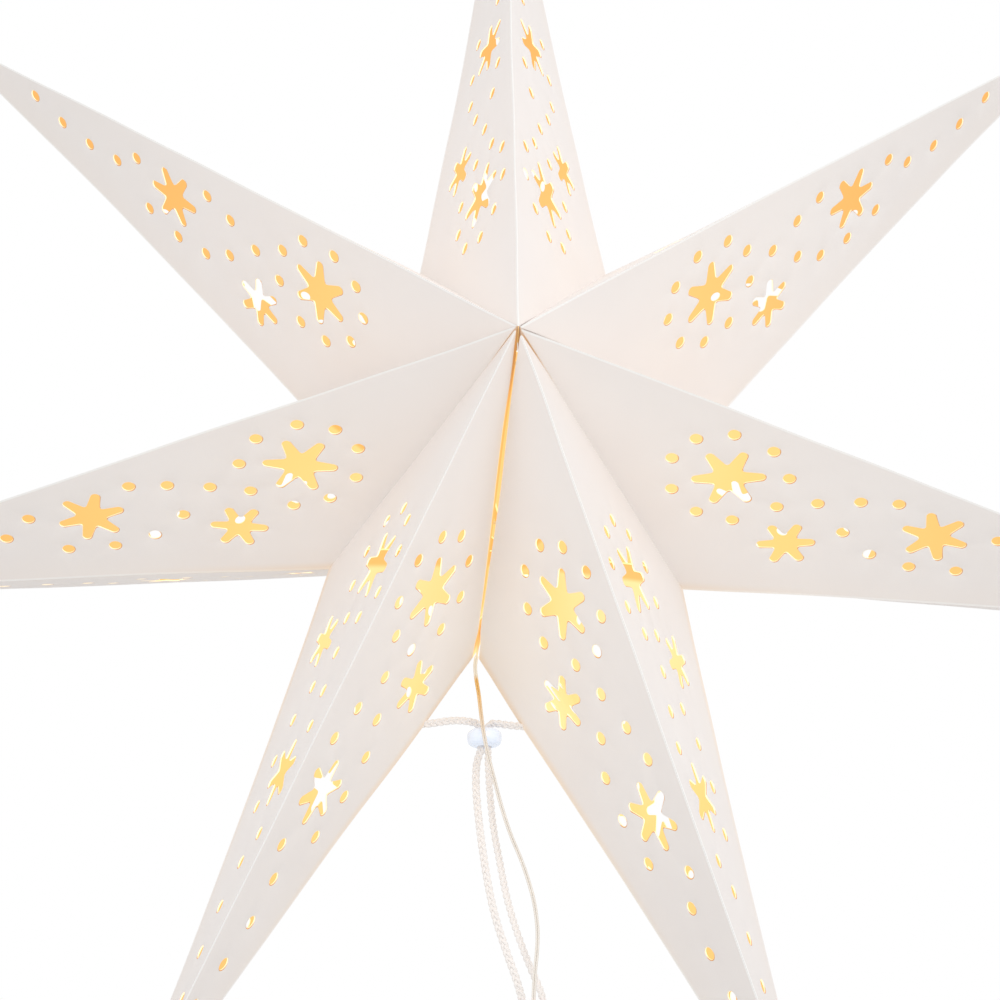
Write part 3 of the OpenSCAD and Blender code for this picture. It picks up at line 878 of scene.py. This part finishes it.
def folded_point(i):
    """The outer skin and glue flaps of point i: points, their distances to its folds, faces, face normals and
    material numbers.
    """
    welded, flat, marks, faces, planes, kinds = {}, [], [], [], [], []
    axis = unit(tip(i) * [1, 0, 1])
    end = tip(i) - axis * TIP_FLAT
    hub_in = 1.2 if i in (0, LAST) else 0.25

    def weld(p, mark):
        key = tuple(np.round(p, 3))
        if key not in welded:
            welded[key] = len(flat)
            flat.append(p)
            marks.append(dict(mark))
        else:
            old = marks[welded[key]]
            for name, value in mark.items():
                if name == "move":
                    if np.linalg.norm(value) > np.linalg.norm(old["move"]):
                        old["move"] = value
                else:
                    old[name] = min(old[name], value)
        return welded[key]

    for side in (0, 1):
        gap = SLIT_SEED if (i, side) in ((0, 0), (LAST, 1)) else 0.0
        wall_way = polar(1, valley(i + side) + (-90 if side == 0 else 90))
        inward = -wall_way * gap
        for back in (False, True):
            h, n_at, t_at = hub(back), notch(i, side), tip(i)
            u = unit(t_at - h)
            v = unit((n_at - h) - u * ((n_at - h) @ u))
            normal = unit(np.cross(u, v))
            if normal @ ((notch(i, 0) + notch(i, 1)) / 2 - h) > 0:
                normal = -normal

            def to_flat(p):
                return np.array([(p - h) @ u, (p - h) @ v])

            # the slit's panels are trimmed where the gap begins, along a line parallel to the valley
            cut_valley = unit(n_at - h)
            slope = np.cross(cut_valley, normal)
            shift = gap / max(abs(slope @ wall_way), 1e-6)
            slope = slope if slope @ wall_way < 0 else -slope
            near = h + u * (hub_in / max(axis @ u, 1e-6))
            far = h + u * ((end - h) @ axis / (u @ axis))
            crease_way = unit(t_at - n_at)
            valley_from = h + slope * shift
            # where the trimmed valley meets the side crease
            a = np.array([to_flat(h + cut_valley) - to_flat(h), -(to_flat(t_at) - to_flat(n_at))]).T
            k = np.linalg.solve(a, to_flat(n_at) - to_flat(valley_from))
            notch_in = valley_from + cut_valley * k[0]
            side_end = n_at + crease_way * ((end - n_at) @ axis / (crease_way @ axis))
            hub_side = valley_from + cut_valley * ((hub_in - (valley_from @ axis)) / (cut_valley @ axis))
            corners = np.array([to_flat(p) for p in (near, far, side_end, notch_in, hub_side)])
            pieces = [RIDGE_STEPS, 1, SIDE_STEPS, VALLEY_STEPS, 1]
            made, tris, pressed, way_out = fill_panel(corners, pieces, CUTS)
            ids = []
            for (x, y), down, (wx, wy) in zip(made, pressed, way_out):
                p = h + u * x + v * y
                off_r = y
                off_v = distance_to(np.array([[x, y]]), to_flat(h), to_flat(n_at))[0]
                off_s = distance_to(np.array([[x, y]]), to_flat(n_at), to_flat(t_at))[0]
                run = min(max(x / np.linalg.norm(t_at - h), 0.0), 1.0)
                edge_run = min(max(((p - n_at) @ crease_way) / np.linalg.norm(t_at - n_at), 0.0), 1.0)
                w_ridge = min(off_v, off_s) / (min(off_v, off_s) + off_r + 1e-9)
                w_side = min(off_r, off_v) / (min(off_r, off_v) + off_s + 1e-9)
                out = np.array([0, 1.0 if back else -1.0, 0]) * RIDGE_BOW * math.sin(math.pi * run) * w_ridge
                pull_way = unit(np.cross([0, 1, 0], axis))
                pull_way *= 1 if n_at @ pull_way < 0 else -1
                pull = pull_way * SIDE_PULL * math.sin(math.pi * edge_run) * w_side
                move = out + pull - normal * LIP_DEEP * down
                ids.append(weld(p, {"move": move, "off_ridge": abs(off_r), "off_valley": off_v,
                                    "off_side": off_s,
                                    "cut_edge": down, "cut_side": (u * wx + v * wy) @ LIT_FROM,
                                    "on_flap": 0.0}))
            for a_, b_, c_ in tris:
                q = [ids[a_], ids[b_], ids[c_]]
                if len(set(q)) < 3:
                    continue
                pa, pb, pc = (flat[k] for k in q)
                if np.cross(pb - pa, pc - pa) @ normal < 0:
                    q = q[::-1]
                faces.append(tuple(q))
                planes.append(normal)
                kinds.append(0)

            # the glue flap that folds in from this valley; front and back flaps meet in a chevron
            way = polar(1, valley(i + side))
            long = math.hypot(NOTCH, abs(h[1]))
            both = math.hypot(NOTCH, DEPTH_FRONT) + math.hypot(NOTCH, DEPTH_BACK)
            r_apex = NOTCH - FLAP * both / (DEPTH_FRONT + DEPTH_BACK)
            r_hub = (hub_in - inward @ axis) / (way @ axis)

            def inner_edge(r):
                y = h[1] * (1 - r / NOTCH) - math.copysign(FLAP * long / NOTCH, h[1])
                return way * r + np.array([0, y, 0]) + inward

            apex, inner_end = inner_edge(r_apex), inner_edge(r_hub)
            rows = [(notch_in + (hub_side - notch_in) * k / VALLEY_STEPS,
                     apex + (inner_end - apex) * k / VALLEY_STEPS) for k in range(VALLEY_STEPS + 1)]
            ids = [[weld(p, {"move": np.zeros(3), "off_ridge": 99.0, "off_valley": 0.0, "off_side": 99.0,
                             "cut_edge": 0.0, "cut_side": 0.0, "on_flap": 1.0}) for p in row] for row in rows]
            for (a_, b_), (d_, c_) in zip(ids, ids[1:]):
                for q in ((a_, b_, c_), (a_, c_, d_)):
                    if len(set(q)) < 3:
                        continue
                    pa, pb, pc = (flat[k] for k in q)
                    if np.cross(pb - pa, pc - pa) @ wall_way < 0:
                        q = q[::-1]
                    faces.append(tuple(q))
                    planes.append(wall_way)
                    # in the depth of the slit one sees the flaps beside it glow
                    kinds.append(1 if i in (0, LAST) else 0)
    return np.array(flat), marks, faces, np.array(planes), kinds


def close_sheet(i, flat, marks, faces, planes, kinds):
    """Adds the inner skin and the walls to an outer skin, as a Shape with its numbers."""
    under = [[] for _ in flat]
    for f, n in zip(faces, planes):
        for k in f:
            if not any(abs(n @ m - 1) < 1e-6 for m in under[k]):
                under[k].append(n)
    sink = np.zeros_like(flat)
    for k, normals in enumerate(under):
        if normals:
            step = np.linalg.lstsq(np.array(normals), -SHEET * np.ones(len(normals)), rcond=1e-3)[0]
            size = np.linalg.norm(step)
            sink[k] = step * min(1.0, 2.0 / max(size, 1e-9), math.hypot(flat[k][0], flat[k][2]) / 7)
    moved = flat + np.array([m["move"] for m in marks]) + np.array([settled(i, p) for p in flat])
    count = len(flat)
    shape = Shape()
    shape.add(moved, faces, 0)
    shape.kinds = list(kinds)
    inner = [tuple(k + count for k in f[::-1]) for f in faces]
    shape.points.extend(map(tuple, moved + sink))
    shape.faces.extend(inner)
    shape.kinds.extend([1] * len(inner))
    seen = {}
    for f in faces:
        for a_, b_ in zip(f, f[1:] + f[:1]):
            seen[(a_, b_)] = seen.get((a_, b_), 0) + 1
    rims = [(b_, a_, a_ + count, b_ + count) for a_, b_ in seen if (b_, a_) not in seen]
    shape.faces.extend(rims)
    shape.kinds.extend([2] * len(rims))
    numbers = {name: [m[name] / 1000 for m in marks] * 2 for name in ("off_ridge", "off_valley", "off_side")}
    numbers |= {name: [m[name] for m in marks] * 2 for name in ("cut_edge", "cut_side", "on_flap")}
    return shape, numbers


for i, name in enumerate(POINTS):
    shape, numbers = close_sheet(i, *folded_point(i))
    piece = shape.piece(f"paper_point_{name}", PAPER, smooth_to=24)
    for key, values in numbers.items():
        piece.data.attributes.new(key, "FLOAT", "POINT").data.foreach_set("value", values)
    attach(piece, "root")
    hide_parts(f"point_{name}")
    print(name, len(shape.points), "points,", len(shape.faces), "faces")

# %% [markdown]
# Room and light
#
# The lantern hangs in front of plain white. What the camera, gloss and glass see of the world is
# white by its colour, and what lights the star is a little lower, so that white paper keeps its
# tone. A broad lamp in front on the right and a weaker one on the left tell the panels apart. A
# pale floor lies well below.

# %% Floor, world and lamps
floor_paint = Paint("pale_floor", Roughness=0.9)
floor_paint.set(Base_Color=floor_paint.mix(floor_paint.grain(3, 2), shade(236, 236, 235), shade(240, 240, 239)))
floor_mesh = bpy.data.meshes.new("floor")
FLOOR_HALF, FLOOR_AT = 15, -0.8
floor_mesh.from_pydata([(x * FLOOR_HALF, y * FLOOR_HALF, FLOOR_AT)
                        for x, y in ((-1, -1), (1, -1), (1, 1), (-1, 1))], [], [(0, 1, 2, 3)])
floor_mesh.materials.append(floor_paint.material)
floor = bpy.data.objects.new("floor", floor_mesh)
bpy.context.scene.collection.objects.link(floor)

world = bpy.data.worlds.new("world")
bpy.context.scene.world = world
world.use_nodes = True
nodes, links = world.node_tree.nodes, world.node_tree.links
nodes.clear()
rays = nodes.new("ShaderNodeLightPath")
seen_world, lit_world = nodes.new("ShaderNodeBackground"), nodes.new("ShaderNodeBackground")
seen_world.inputs["Color"].default_value = (1, 1, 1, 1)
lit_world.inputs["Color"].default_value = (1.0, 0.992, 0.985, 1)
lit_world.inputs["Strength"].default_value = 0.82
seen = rays.outputs["Is Camera Ray"]
for kind in ("Is Transmission Ray", "Is Glossy Ray"):
    either = nodes.new("ShaderNodeMath")
    either.operation = "MAXIMUM"
    links.new(seen, either.inputs[0])
    links.new(rays.outputs[kind], either.inputs[1])
    seen = either.outputs[0]
chosen = nodes.new("ShaderNodeMixShader")
links.new(seen, chosen.inputs[0])
links.new(lit_world.outputs[0], chosen.inputs[1])
links.new(seen_world.outputs[0], chosen.inputs[2])
sink = nodes.new("ShaderNodeOutputWorld")
links.new(chosen.outputs[0], sink.inputs["Surface"])


def lamp(name, at, towards, size, watts):
    data = bpy.data.lights.new(name, "AREA")
    data.shape, data.size, data.energy = "DISK", size, watts
    made = bpy.data.objects.new(name, data)
    bpy.context.scene.collection.objects.link(made)
    made.location = at
    made.rotation_euler = (Vector(towards) - Vector(at)).to_track_quat("-Z", "Y").to_euler()


lamp("front_right", (0.9, -2.0, 0.3), (0, 0, -0.3), 1.4, 12.0)
lamp("front_left", (-1.0, -1.7, -0.2), (0, 0, -0.3), 1.0, 3.5)
view = bpy.context.scene.view_settings
view.view_transform = "Standard"
